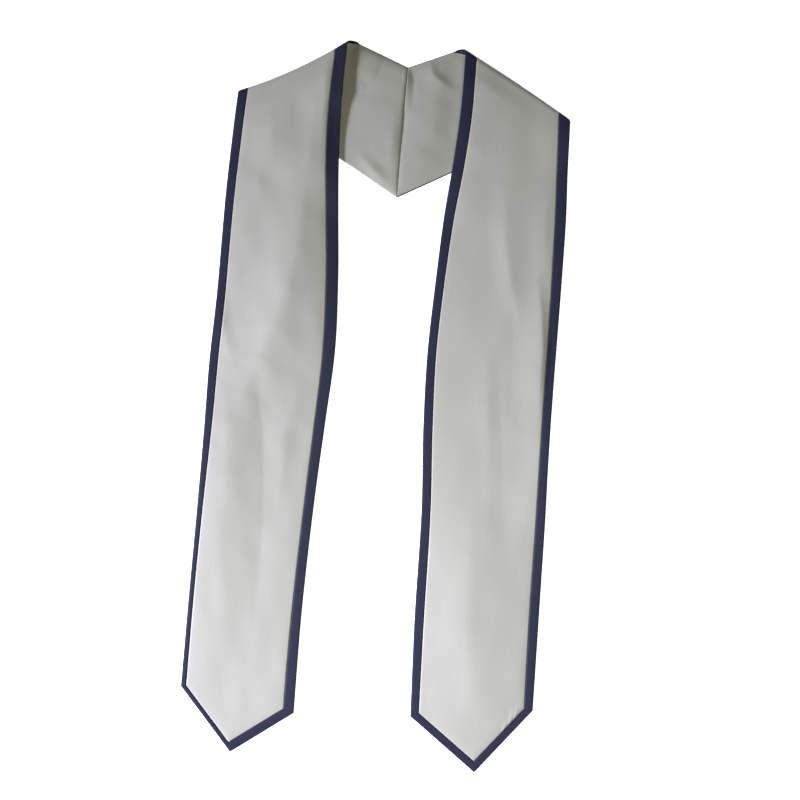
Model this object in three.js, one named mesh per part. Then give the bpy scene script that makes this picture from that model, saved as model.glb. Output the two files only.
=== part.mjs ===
// A graduation stole, laid flat and folded over at both shoulders.
// The back point lies underneath with its lining up, and the two front panels lie on top with their satin up.
// Millimetres, seen from above with the neck at the top: +X is to the right, +Y towards the neck and +Z up.
import * as THREE from "three";

const { clamp, degToRad, lerp, smoothstep } = THREE.MathUtils;

// Cloth: every piece is one sheet of this thickness, and a panel is a lining with satin and trim sewn over it.
const CLOTH = 1.0;
const LAYER_GAP = 0.3;
const SEAM_GAP = 0.3;
const REST_GAP = 0.5;

// Back: the centre seam runs from the neck notch down to the back point.
const BACK_SEAM = 147;
const NECK_RISE = 25.2;
const BACK_BILLOW = 1.4;
const BILLOW_REACH = 46;

// Shoulders: the band meets the fold at an angle, so it winds outwards as it goes over.
const SHOULDER_ANGLE_DEG = 27.5;
const BAND_ANGLE_DEG = 53;
const SHOULDER_BOW = 5;
const FOLD_OPEN_NECK = 9;
const FOLD_OPEN_OUTER = 3;

// Front panels: from the shoulders down to the two points.
const HALF_NECK = 63;
const PANEL_WIDTH = 140;
const PANEL_LENGTH = 720;
const POINT_DROP = 66;
const TRIM_WIDTH = 10;
const SATIN_PUFF = 1.4;

// How a front panel comes down from its fold on to the back, and over the back's edge on to the surface.
const CURL_RUN_NECK = 135;
const CURL_RUN_OUTER = 45;
const EDGE_HOLD = 18;
const EDGE_RUN = 48;
const CREASE_LIFT = 4;

// How finely the cloth is divided.
const BACK_ROWS = 4;
const FOLD_ROWS = 6;
const FRONT_ROWS = 30;
const ROW_EASE = 1.2;
const HALF_COLUMNS = 3;
const PUFF_ROWS = 3;
const POINT_BLEND = 0.8;

const SHOULDER_SLOPE = degToRad(SHOULDER_ANGLE_DEG);
const BAND_TURN = degToRad(BAND_ANGLE_DEG);

// From the middle of a panel's two layers to either outer face, and the height of a panel that lies on another.
const HALF_LAYER = CLOTH + LAYER_GAP / 2;
const STACK = 2 * HALF_LAYER + REST_GAP;

const SATIN = { color: 0xc3c4bf, roughness: 0.42, metalness: 0 };
const LINING = { color: 0xa9aaa6, roughness: 0.5, metalness: 0 };
const TRIM = { color: 0x2a2e55, roughness: 0.5, metalness: 0 };

// Each side: heights as shares of NECK_RISE, PANEL_LENGTH and POINT_DROP, the shoulder's bow of SHOULDER_BOW,
// the fold of FOLD_OPEN_NECK, the tip's place across the panel, and the trims at the point of TRIM_WIDTH.
// Sections, from the shoulder fold to the corners of the point: the neck edge is a share of HALF_NECK,
// the width one of PANEL_WIDTH and both trims are shares of TRIM_WIDTH.
const LEFT = {
  name: "left",
  turn: -1,
  peak: 0.99,
  bow: 1,
  fold: 1.15,
  innerCorner: 1.021,
  outerCorner: 0.994,
  tipAcross: 0.526,
  tipDrop: 0.91,
  innerPointTrim: 1.02,
  outerPointTrim: 0.55,
  sections: [
    { along: 0.0, neckEdge: 1.11, width: 0.845, neckTrim: 1.3, outerTrim: 1.1 },
    { along: 0.08, neckEdge: 1.127, width: 0.856, neckTrim: 1.4, outerTrim: 1.07 },
    { along: 0.16, neckEdge: 1.094, width: 0.883, neckTrim: 1.42, outerTrim: 1.02 },
    { along: 0.24, neckEdge: 1.025, width: 0.917, neckTrim: 1.34, outerTrim: 0.98 },
    { along: 0.34, neckEdge: 0.925, width: 0.964, neckTrim: 1.34, outerTrim: 0.97 },
    { along: 0.45, neckEdge: 0.87, width: 1.004, neckTrim: 1.36, outerTrim: 1.0 },
    { along: 0.56, neckEdge: 0.937, width: 0.97, neckTrim: 1.2, outerTrim: 0.88 },
    { along: 0.69, neckEdge: 1.018, width: 0.935, neckTrim: 1.08, outerTrim: 0.66 },
    { along: 0.85, neckEdge: 1.071, width: 0.918, neckTrim: 1.1, outerTrim: 0.57 },
    { along: 1.0, neckEdge: 1.063, width: 0.924, neckTrim: 1.18, outerTrim: 0.6 },
  ],
};
const RIGHT = {
  name: "right",
  turn: 1,
  peak: 1.01,
  bow: -0.3,
  fold: 1,
  innerCorner: 1.011,
  outerCorner: 0.986,
  tipAcross: 0.562,
  tipDrop: 1.017,
  innerPointTrim: 0.95,
  outerPointTrim: 0.88,
  sections: [
    { along: 0.0, neckEdge: 1.0, width: 0.886, neckTrim: 1.3, outerTrim: 1.35 },
    { along: 0.08, neckEdge: 1.001, width: 0.901, neckTrim: 1.3, outerTrim: 1.26 },
    { along: 0.16, neckEdge: 0.946, width: 0.945, neckTrim: 1.25, outerTrim: 1.25 },
    { along: 0.24, neckEdge: 0.865, width: 0.988, neckTrim: 1.13, outerTrim: 1.17 },
    { along: 0.34, neckEdge: 0.811, width: 1.016, neckTrim: 1.01, outerTrim: 1.08 },
    { along: 0.45, neckEdge: 0.773, width: 1.036, neckTrim: 1.01, outerTrim: 1.03 },
    { along: 0.56, neckEdge: 0.81, width: 1.026, neckTrim: 1.07, outerTrim: 0.98 },
    { along: 0.69, neckEdge: 0.906, width: 1.001, neckTrim: 1.04, outerTrim: 1.04 },
    { along: 0.85, neckEdge: 0.943, width: 0.999, neckTrim: 1.08, outerTrim: 1.08 },
    { along: 1.0, neckEdge: 1.016, width: 0.979, neckTrim: 0.96, outerTrim: 0.99 },
  ],
};

// Soft folds of a whole panel, each a ridge between two places on it, given by their shares along and across.
// The spread is a share of PANEL_WIDTH and the lift one of CREASE_LIFT.
const CREASES = {
  left: [
    { along: 0.08, across: 0.3, toAlong: 0.3, toAcross: 0.5, spread: 0.33, lift: 1.1 },
    { along: 0.36, across: 0.56, toAlong: 0.54, toAcross: 0.7, spread: 0.25, lift: 0.8 },
    { along: 0.6, across: 0.68, toAlong: 0.8, toAcross: 0.64, spread: 0.2, lift: 0.4 },
  ],
  right: [
    { along: 0.26, across: 0.42, toAlong: 0.4, toAcross: 0.8, spread: 0.22, lift: 0.45 },
    { along: 0.52, across: 0.42, toAlong: 0.74, toAcross: 0.48, spread: 0.26, lift: 0.4 },
  ],
};

// The value of one column of a side's sections at a share along the panel, on a smooth curve through the rows.
function sectionValue(sections, along, column) {
  const last = sections.length - 2;
  const found = sections.findIndex((row) => row.along >= along) - 1;
  const i = clamp(found, 0, last);
  const slope = (a, b) => (b[column] - a[column]) / (b.along - a.along);
  const before = sections[Math.max(i - 1, 0)];
  const from = sections[i];
  const to = sections[i + 1];
  const after = sections[Math.min(i + 2, last + 1)];
  const run = to.along - from.along;
  const share = (along - from.along) / run;
  const startSlope = slope(before, to) * run;
  const endSlope = slope(from, after) * run;
  const square = share * share;
  const cube = square * share;
  return (
    from[column] * (2 * cube - 3 * square + 1) +
    startSlope * (cube - 2 * square + share) +
    to[column] * (3 * square - 2 * cube) +
    endSlope * (cube - square)
  );
}

// A front panel's cross section: distances out from the centre line, and its two trims.
function sectionAt(side, along) {
  const value = (column) => sectionValue(side.sections, along, column);
  const inner = HALF_NECK * value("neckEdge");
  return {
    inner,
    outer: inner + PANEL_WIDTH * value("width"),
    neckTrim: TRIM_WIDTH * value("neckTrim"),
    outerTrim: TRIM_WIDTH * value("outerTrim"),
  };
}

// Radius of the fold, to the middle of the panel's two layers.
function foldRadius(side, across) {
  return HALF_LAYER + lerp(FOLD_OPEN_NECK * side.fold, FOLD_OPEN_OUTER, across) / 2;
}

// How far the band winds outwards along the fold while it goes over.
function foldShift(side, across) {
  return (Math.PI * foldRadius(side, across)) / Math.tan(BAND_TURN);
}

// Where the front panel leaves the fold, seen from above.
function foldTop(side, across) {
  const { inner, outer } = sectionAt(side, 0);
  const overhang = (foldRadius(side, 0) + HALF_LAYER) * Math.cos(SHOULDER_SLOPE);
  const wound = (foldShift(side, 0) / 2) * Math.sin(SHOULDER_SLOPE);
  const fall = across * (outer - inner) * Math.tan(SHOULDER_SLOPE);
  const bow = SHOULDER_BOW * side.bow * 4 * across * (1 - across);
  const y = NECK_RISE * side.peak - overhang - wound - fall - bow;
  return new THREE.Vector3(lerp(inner, outer, across), y, 0);
}

// Where the back layer reaches the fold, seen from above.
function foldBottom(side, across) {
  const shift = foldShift(side, across);
  const along = new THREE.Vector3(Math.cos(SHOULDER_SLOPE), -Math.sin(SHOULDER_SLOPE), 0);
  return foldTop(side, across).addScaledVector(along, -shift);
}

// The back layer, from the centre seam to the fold: its satin lies on the surface.
function backPoint(side, share, across) {
  const seam = new THREE.Vector3(0, -BACK_SEAM * across, 0);
  const point = seam.lerp(foldBottom(side, across), share);
  point.z = HALF_LAYER;
  return point;
}

// The fold itself, a half turn that winds outwards.
function foldPoint(side, share, across) {
  const radius = foldRadius(side, across);
  const angle = Math.PI * share;
  const reach = radius * Math.sin(angle);
  const away = new THREE.Vector3(Math.sin(SHOULDER_SLOPE), Math.cos(SHOULDER_SLOPE), 0);
  const point = foldBottom(side, across).lerp(foldTop(side, across), share);
  point.addScaledVector(away, reach);
  point.z = HALF_LAYER + radius * (1 - Math.cos(angle));
  return point;
}

// A place on a front panel before its lower end is drawn down into the point, seen from above.
function frontPlan(side, along, across) {
  const { inner, outer } = sectionAt(side, along);
  const start = foldTop(side, across);
  const end = -PANEL_LENGTH * lerp(side.innerCorner, side.outerCorner, across);
  return new THREE.Vector3(lerp(inner, outer, across), lerp(start.y, end, along), 0);
}

// Smooth ridge of height 1 on the line between two places, falling to 0 at the spread.
function ridge(place, from, to, spread) {
  const line = new THREE.Line3(from, to);
  const nearest = line.closestPointToPoint(place, true, new THREE.Vector3());
  const share = Math.min(nearest.distanceTo(place) / spread, 1);
  return (1 - share * share) ** 2;
}

// Height of the middle of a front panel over the surface at a place on it.
function frontHeight(side, place, along, across) {
  const backCorner = foldBottom(side, 1);
  const backEdge = new THREE.Vector2(backCorner.x, backCorner.y + BACK_SEAM).normalize();
  const pastEdge = backEdge.y * place.x - backEdge.x * (place.y + BACK_SEAM);
  const onBack = STACK * (1 - smoothstep(pastEdge, EDGE_HOLD, EDGE_HOLD + EDGE_RUN));
  const run = lerp(CURL_RUN_NECK, CURL_RUN_OUTER, across);
  const fromFold = (foldTop(side, across).y - place.y) * Math.cos(SHOULDER_SLOPE);
  const curl = (2 * foldRadius(side, across) - STACK) * (1 - smoothstep(fromFold, 0, run));
  const creases = CREASES[side.name].map((crease) => {
    const from = frontPlan(side, crease.along, crease.across);
    const to = frontPlan(side, crease.toAlong, crease.toAcross);
    return CREASE_LIFT * crease.lift * ridge(place, from, to, PANEL_WIDTH * crease.spread);
  });
  return HALF_LAYER + onBack + curl + creases.reduce((sum, lift) => sum + lift, 0);
}

// The corner of a border: where two neighbouring edges meet once each is moved inwards by its own trim.
function borderCorner(before, corner, after, trimBefore, trimAfter) {
  const inwards = (a, b) => new THREE.Vector2(a.y - b.y, b.x - a.x).normalize();
  const first = inwards(before, corner);
  const second = inwards(corner, after);
  const turn = first.x * second.y - first.y * second.x;
  const x = (trimBefore * second.y - trimAfter * first.y) / turn;
  const y = (trimAfter * first.x - trimBefore * second.x) / turn;
  return new THREE.Vector3(corner.x + x, corner.y + y, corner.z);
}

// The point of a panel: its outer edge and the line where its trims meet the satin, each through three corners.
function pointCorners(side) {
  const above = 0.9;
  const end = sectionAt(side, 1);
  const innerAbove = frontPlan(side, above, 0);
  const outerAbove = frontPlan(side, above, 1);
  const innerCorner = frontPlan(side, 1, 0);
  const outerCorner = frontPlan(side, 1, 1);
  const tip = innerCorner.clone().lerp(outerCorner, side.tipAcross);
  tip.y -= POINT_DROP * side.tipDrop;
  const innerTrim = TRIM_WIDTH * side.innerPointTrim;
  const outerTrim = TRIM_WIDTH * side.outerPointTrim;
  return {
    edge: [innerCorner, tip, outerCorner],
    border: [
      borderCorner(innerAbove, innerCorner, tip, end.neckTrim, innerTrim),
      borderCorner(innerCorner, tip, outerCorner, innerTrim, outerTrim),
      borderCorner(tip, outerCorner, outerAbove, outerTrim, end.outerTrim),
    ],
  };
}

// Shares across a row: edge, trim line, satin columns on either side of the tip's column, trim line and edge.
function columnShares(side, neckTrim, outerTrim) {
  const shares = [0];
  for (let i = 0; i < HALF_COLUMNS; i += 1) {
    shares.push(lerp(neckTrim, side.tipAcross, i / HALF_COLUMNS));
  }
  for (let i = 0; i <= HALF_COLUMNS; i += 1) {
    shares.push(lerp(side.tipAcross, 1 - outerTrim, i / HALF_COLUMNS));
  }
  shares.push(1);
  return shares;
}

// The trims' shares of a row of the back layer, square to its two edges.
function backTrimShares(side, share) {
  const { neckTrim, outerTrim } = sectionAt(side, 0);
  const neckEnd = backPoint(side, share, 0);
  const row = backPoint(side, share, 1).sub(neckEnd);
  const squareTo = (across) => {
    const edge = backPoint(side, 1, across).sub(backPoint(side, 0, across)).normalize();
    return row.clone().cross(edge).length();
  };
  return [neckTrim / squareTo(0), outerTrim / squareTo(1)];
}

function frontTrimShares(side, along) {
  const { inner, outer, neckTrim, outerTrim } = sectionAt(side, along);
  return [neckTrim / (outer - inner), outerTrim / (outer - inner)];
}

// Moves the rows near the lower end so that the last one lies on the line where trims and satin meet.
function drawnToPoint(side, along, shares) {
  const { border } = pointCorners(side);
  const blend = clamp((along - POINT_BLEND) / (1 - POINT_BLEND), 0, 1) ** 2;
  const middle = HALF_COLUMNS + 1;
  const last = shares.length - 1;
  return shares.map((across, column) => {
    const place = frontPlan(side, along, across);
    if (column === 0 || column === last) return place;
    const nearTip = column <= middle ? (column - 1) / HALF_COLUMNS : (last - 1 - column) / HALF_COLUMNS;
    const corner = column <= middle ? border[0] : border[2];
    const target = corner.clone().lerp(border[1], nearTip);
    const shift = target.sub(frontPlan(side, 1, across));
    return place.addScaledVector(shift, blend);
  });
}

// All rows of one half, from the centre back seam over the shoulder to the point's border.
function bandRows(side) {
  const rows = [];
  for (let i = 0; i < BACK_ROWS; i += 1) {
    const share = i / BACK_ROWS;
    const shares = columnShares(side, ...backTrimShares(side, share));
    rows.push(shares.map((across) => backPoint(side, share, across)));
  }
  const under = backTrimShares(side, 1);
  const over = frontTrimShares(side, 0);
  for (let i = 0; i < FOLD_ROWS; i += 1) {
    const share = i / FOLD_ROWS;
    const shares = columnShares(side, lerp(under[0], over[0], share), lerp(under[1], over[1], share));
    rows.push(shares.map((across) => foldPoint(side, share, across)));
  }
  for (let i = 0; i <= FRONT_ROWS; i += 1) {
    const along = (i / FRONT_ROWS) ** ROW_EASE;
    const shares = columnShares(side, ...frontTrimShares(side, along));
    const points = drawnToPoint(side, along, shares);
    points.forEach((place, column) => {
      place.z = frontHeight(side, place, along, shares[column]);
    });
    rows.push(points);
  }
  return rows;
}

// The normal at each place of the rows, towards the satin side.
function rowNormals(rows) {
  const at = (list, i) => list[clamp(i, 0, list.length - 1)];
  return rows.map((row, i) =>
    row.map((_, j) => {
      const along = at(rows, i + 1)[j].clone().sub(at(rows, i - 1)[j]);
      const across = at(row, j + 1).clone().sub(at(row, j - 1));
      return along.cross(across).normalize();
    }),
  );
}

// Moves one edge of a grid inwards, square to that edge, to leave half of a seam's gap.
function pulledIn(edge, inside) {
  return edge.map((place, i) => {
    const tangent = edge[Math.min(i + 1, edge.length - 1)].clone().sub(edge[Math.max(i - 1, 0)]).normalize();
    const inwards = inside[i].clone().sub(place).normalize();
    const sine = inwards.clone().cross(tangent).length();
    return place.clone().addScaledVector(inwards, SEAM_GAP / 2 / sine);
  });
}

// Opens the seams of a grid of points on the named sides.
function withSeams(points, seams) {
  const rows = points.map((row) => row.map((place) => place.clone()));
  const last = rows.length - 1;
  const columnOf = (list, j) => list.map((row) => row.at(j));
  const setColumn = (j, column) => rows.forEach((row, i) => row.splice(j, 1, column[i]));
  if (seams.includes("start")) rows[0] = pulledIn(rows[0], rows[1]);
  if (seams.includes("end")) rows[last] = pulledIn(rows[last], rows[last - 1]);
  const width = rows[0].length;
  if (seams.includes("first")) setColumn(0, pulledIn(columnOf(rows, 0), columnOf(rows, 1)));
  if (seams.includes("last")) {
    setColumn(width - 1, pulledIn(columnOf(rows, width - 1), columnOf(rows, width - 2)));
  }
  return rows;
}

// A closed sheet of cloth over a grid of points, from one height to another along their normals.
function sheetGeometry(side, points, normals, base) {
  const height = points.length;
  const width = points[0].length;
  const vertices = [];
  for (const raised of [CLOTH, 0]) {
    for (let i = 0; i < height; i += 1) {
      for (let j = 0; j < width; j += 1) {
        const lift = base(i, j) + raised;
        const vertex = points[i][j].clone().addScaledVector(normals[i][j], lift);
        vertices.push(new THREE.Vector3(vertex.x * side.turn, vertex.y, vertex.z));
      }
    }
  }
  const upper = (i, j) => i * width + j;
  const lower = (i, j) => height * width + upper(i, j);
  const triangles = [];
  for (let i = 0; i + 1 < height; i += 1) {
    for (let j = 0; j + 1 < width; j += 1) {
      triangles.push([upper(i, j), upper(i + 1, j), upper(i + 1, j + 1)]);
      triangles.push([upper(i, j), upper(i + 1, j + 1), upper(i, j + 1)]);
      triangles.push([lower(i, j), lower(i + 1, j + 1), lower(i + 1, j)]);
      triangles.push([lower(i, j), lower(i, j + 1), lower(i + 1, j + 1)]);
    }
  }
  const rim = [];
  for (let i = 0; i < height; i += 1) rim.push([i, 0]);
  for (let j = 1; j < width; j += 1) rim.push([height - 1, j]);
  for (let i = height - 2; i >= 0; i -= 1) rim.push([i, width - 1]);
  for (let j = width - 2; j > 0; j -= 1) rim.push([0, j]);
  rim.forEach((here, i) => {
    const next = rim[(i + 1) % rim.length];
    triangles.push([upper(...next), upper(...here), lower(...here)]);
    triangles.push([upper(...next), lower(...here), lower(...next)]);
  });
  const positions = [];
  for (const triangle of triangles) {
    const corners = triangle.map((index) => vertices[index]);
    const sameAs = (a, b) => corners[a].distanceTo(corners[b]) < 1e-6;
    if (sameAs(0, 1) || sameAs(1, 2) || sameAs(2, 0)) continue;
    if (side.turn < 0) corners.reverse();
    corners.forEach((corner) => positions.push(...corner.toArray()));
  }
  const geometry = new THREE.BufferGeometry();
  geometry.setAttribute("position", new THREE.Float32BufferAttribute(positions, 3));
  geometry.computeVertexNormals();
  return geometry;
}

function sheetMesh(name, finish, geometry) {
  const mesh = new THREE.Mesh(geometry, new THREE.MeshStandardMaterial(finish));
  mesh.name = name;
  return mesh;
}

// The two stretches of a half's cloth, from one of its rows to another: it is divided where the back meets the fold.
function stretchesOf(rows) {
  return [
    { name: "back", from: 0, to: BACK_ROWS },
    { name: "front", from: BACK_ROWS, to: rows.length - 1 },
  ];
}

function cut(list, stretch) {
  return list.slice(stretch.from, stretch.to + 1);
}

// The outer edge of the point, as the last row of the lining.
function pointEdgeRow(side, lastRow) {
  const { edge } = pointCorners(side);
  const middle = HALF_COLUMNS + 1;
  const last = lastRow.length - 1;
  return lastRow.map((place, column) => {
    const share = column <= middle ? column / middle : (last - column) / (last - middle);
    const corner = column <= middle ? edge[0] : edge[2];
    const end = corner.clone().lerp(edge[1], share);
    end.z = place.z;
    return end;
  });
}

// The lining runs out to the edges. On the back it billows between the centre seam and the neck edges.
function liningMesh(side, rows, normals, stretch) {
  const onBack = stretch.name === "back";
  const flat = cut(rows, stretch);
  const flatNormals = cut(normals, stretch);
  if (!onBack) {
    flat.push(pointEdgeRow(side, flat.at(-1)));
    flatNormals.push(flatNormals.at(-1));
  }
  const points = withSeams(flat, onBack ? ["start", "end"] : ["start"]);
  const billow = (i, j) => {
    if (!onBack) return 0;
    const share = clamp(points[i][j].x / BILLOW_REACH, 0, 1);
    return BACK_BILLOW * 4 * share * (1 - share);
  };
  const base = (i, j) => -LAYER_GAP / 2 - CLOTH - billow(i, j);
  const geometry = sheetGeometry(side, points, flatNormals, base);
  return sheetMesh(`lining_${stretch.name}_${side.name}`, LINING, geometry);
}

// The satin lies between the trims, and stands a little proud of them on the front panel.
function satinMesh(side, rows, normals, stretch) {
  const inside = (list) => list.slice(1, -1);
  const points = withSeams(cut(rows, stretch).map(inside), ["start", "end", "first", "last"]);
  const columns = points[0].length - 1;
  const puff = (i, j) => {
    const fromFold = i + stretch.from - BACK_ROWS - FOLD_ROWS;
    if (fromFold < 0 || i + stretch.from === rows.length - 1) return 0;
    const fade = Math.min(fromFold / PUFF_ROWS, 1);
    return SATIN_PUFF * fade * (1 - 0.5 ** Math.min(j, columns - j));
  };
  const base = (i, j) => LAYER_GAP / 2 + puff(i, j);
  const geometry = sheetGeometry(side, points, cut(normals, stretch).map(inside), base);
  return sheetMesh(`satin_${stretch.name}_${side.name}`, SATIN, geometry);
}

// A trim along one edge of the band, mitred where it ends at the point's corner.
function edgeTrimMesh(side, rows, normals, stretch, which) {
  const atNeck = which === "neck";
  const pick = (list) => (atNeck ? list.slice(0, 2) : list.slice(-2));
  const points = withSeams(cut(rows, stretch).map(pick), ["start", "end", atNeck ? "last" : "first"]);
  const geometry = sheetGeometry(side, points, cut(normals, stretch).map(pick), () => LAYER_GAP / 2);
  return sheetMesh(`trim_${which}_${stretch.name}_${side.name}`, TRIM, geometry);
}

// A trim along one edge of the point, mitred at its corner and at the tip.
function pointTrimMesh(side, height, which) {
  const { edge, border } = pointCorners(side);
  const from = which === "inner" ? 0 : 1;
  const line = (corners) => corners.slice(from, from + 2);
  const points = withSeams([line(border), line(edge)], ["start", "first", "last"]);
  points.flat().forEach((place) => {
    place.z = height;
  });
  const up = points.map((row) => row.map(() => new THREE.Vector3(0, 0, 1)));
  const geometry = sheetGeometry(side, points, up, () => LAYER_GAP / 2);
  return sheetMesh(`trim_point_${which}_${side.name}`, TRIM, geometry);
}

// One half of the stole, from the centre back seam over the shoulder to the point.
function halfStole(side) {
  const half = new THREE.Group();
  const rows = bandRows(side);
  const normals = rowNormals(rows);
  for (const stretch of stretchesOf(rows)) {
    half.add(liningMesh(side, rows, normals, stretch));
    half.add(satinMesh(side, rows, normals, stretch));
    for (const which of ["neck", "outer"]) {
      half.add(edgeTrimMesh(side, rows, normals, stretch, which));
    }
  }
  for (const which of ["inner", "outer"]) {
    half.add(pointTrimMesh(side, HALF_LAYER, which));
  }
  return half;
}

// The origin is under the middle of the whole stole, on the surface that it lies on.
const halves = new THREE.Group();
halves.add(halfStole(LEFT), halfStole(RIGHT));
const middle = new THREE.Box3().setFromObject(halves).getCenter(new THREE.Vector3());
halves.position.set(-middle.x, -middle.y, 0);

const stole = new THREE.Group();
stole.add(halves);

export default stole;
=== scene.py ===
# A graduation stole, laid flat and folded over at both shoulders: its cloth, its finishes and its studio.
import math

import bmesh
import bpy
import numpy as np
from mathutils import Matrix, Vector


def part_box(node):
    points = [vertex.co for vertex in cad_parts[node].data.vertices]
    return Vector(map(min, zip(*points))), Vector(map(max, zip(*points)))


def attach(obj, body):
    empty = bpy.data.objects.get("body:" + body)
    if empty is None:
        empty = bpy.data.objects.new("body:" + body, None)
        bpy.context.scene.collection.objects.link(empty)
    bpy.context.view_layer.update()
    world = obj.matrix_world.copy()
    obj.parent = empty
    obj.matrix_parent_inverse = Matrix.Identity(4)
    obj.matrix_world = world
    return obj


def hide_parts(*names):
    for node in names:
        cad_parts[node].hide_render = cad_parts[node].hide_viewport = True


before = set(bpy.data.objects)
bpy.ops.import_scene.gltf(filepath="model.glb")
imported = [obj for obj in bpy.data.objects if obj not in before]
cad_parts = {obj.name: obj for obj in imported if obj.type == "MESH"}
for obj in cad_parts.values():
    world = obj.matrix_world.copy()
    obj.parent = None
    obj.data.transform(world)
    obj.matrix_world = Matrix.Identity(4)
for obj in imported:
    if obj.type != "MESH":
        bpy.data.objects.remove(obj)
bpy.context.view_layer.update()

bl_info = {
    "name": "Graduation Stole",
    "version": (1, 0, 0),
    "blender": (4, 5, 0),
    "location": "View3D > Sidebar > Stole",
    "description": "Builds the cloth of a satin graduation stole with contrast trim, and a studio for it",
    "category": "Add Mesh",
}

BODY = "root"
UV_NAME = "cloth"
MM = 0.001

# The frame's sizes, in metres: the same driving dimensions as the solids have.
CLOTH = 1.0 * MM
LAYER_GAP = 0.3 * MM
REST_GAP = 0.5 * MM
HALF_LAYER = CLOTH + LAYER_GAP / 2
STACK = 2 * HALF_LAYER + REST_GAP
FRAME_SEAM_GAP = 0.3 * MM
BACK_SEAM = 147 * MM
NECK_RISE = 25.2 * MM
BILLOW_REACH = 46 * MM
SHOULDER_SLOPE = math.radians(27.5)
BAND_TURN = math.radians(53)
SHOULDER_BOW = 5 * MM
FOLD_OPEN_NECK = 9 * MM
FOLD_OPEN_OUTER = 3 * MM
HALF_NECK = 63 * MM
PANEL_WIDTH = 140 * MM
PANEL_LENGTH = 720 * MM
POINT_DROP = 66 * MM
TRIM_WIDTH = 10 * MM
CURL_RUN_NECK = 135 * MM
CURL_RUN_OUTER = 45 * MM
EDGE_HOLD = 18 * MM
EDGE_RUN = 48 * MM
POINT_BLEND = 0.8

# The pressed fold of the shoulder: 1 is a round half turn, and less is flatter with a tighter edge.
FOLD_PRESS = 0.62

# How much a soft fold's crest is rounded, as a share of its width, and how far below the shoulder it reaches
# its full height.
FOLD_ROUNDING = 0.1
FOLDS_START = 20 * MM

# Each side as the solids have it, and how far its lining stays in from the neck edge and the outer edge, how
# far more it is drawn in at the shoulder's peak, which bares the dark navy trim there as painted shade for
# the shadow inside the fold, over what distance it dips into the centre seam, and what share of the curl's
# run its neck edge takes. Sections run from the shoulder fold to the point's corners.
SECTION_COLUMNS = ("along", "neck_edge", "width", "neck_trim", "outer_trim")
LEFT = {
    "name": "left",
    "turn": -1,
    "lining_inset": (0.5 * MM, 0.35 * MM),
    "peak_shade_slip": 3 * MM,
    "seam_dip": 1.8 * MM,
    "neck_curl": 0.54,
    "peak": 0.99,
    "bow": 1,
    "fold": 1.15,
    "inner_corner": 1.021,
    "outer_corner": 0.994,
    "tip_across": 0.526,
    "tip_drop": 0.91,
    "inner_point_trim": 1.02,
    "outer_point_trim": 0.55,
    "sections": (
        (0.0, 1.11, 0.845, 1.3, 1.1),
        (0.08, 1.127, 0.856, 1.4, 1.07),
        (0.16, 1.094, 0.883, 1.42, 1.02),
        (0.24, 1.025, 0.917, 1.34, 0.98),
        (0.34, 0.925, 0.964, 1.34, 0.97),
        (0.45, 0.87, 1.004, 1.36, 1.0),
        (0.56, 0.937, 0.97, 1.2, 0.88),
        (0.69, 1.018, 0.935, 1.08, 0.66),
        (0.85, 1.071, 0.918, 1.1, 0.57),
        (1.0, 1.063, 0.924, 1.18, 0.6),
    ),
}
RIGHT = {
    "name": "right",
    "turn": 1,
    "lining_inset": (0.5 * MM, 1.1 * MM),
    "peak_shade_slip": 11 * MM,
    "seam_dip": 10 * MM,
    "neck_curl": 1,
    "peak": 1.01,
    "bow": -0.3,
    "fold": 1,
    "inner_corner": 1.011,
    "outer_corner": 0.986,
    "tip_across": 0.562,
    "tip_drop": 1.017,
    "inner_point_trim": 0.95,
    "outer_point_trim": 0.88,
    "sections": (
        (0.0, 1.0, 0.886, 1.3, 1.35),
        (0.08, 1.001, 0.901, 1.3, 1.26),
        (0.16, 0.946, 0.945, 1.25, 1.25),
        (0.24, 0.865, 0.988, 1.13, 1.17),
        (0.34, 0.811, 1.016, 1.01, 1.08),
        (0.45, 0.773, 1.036, 1.01, 1.03),
        (0.56, 0.81, 1.026, 1.07, 0.98),
        (0.69, 0.906, 1.001, 1.04, 1.04),
        (0.85, 0.943, 0.999, 1.08, 1.08),
        (1.0, 1.016, 0.979, 0.96, 0.99),
    ),
}
SIDES = (LEFT, RIGHT)

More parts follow.
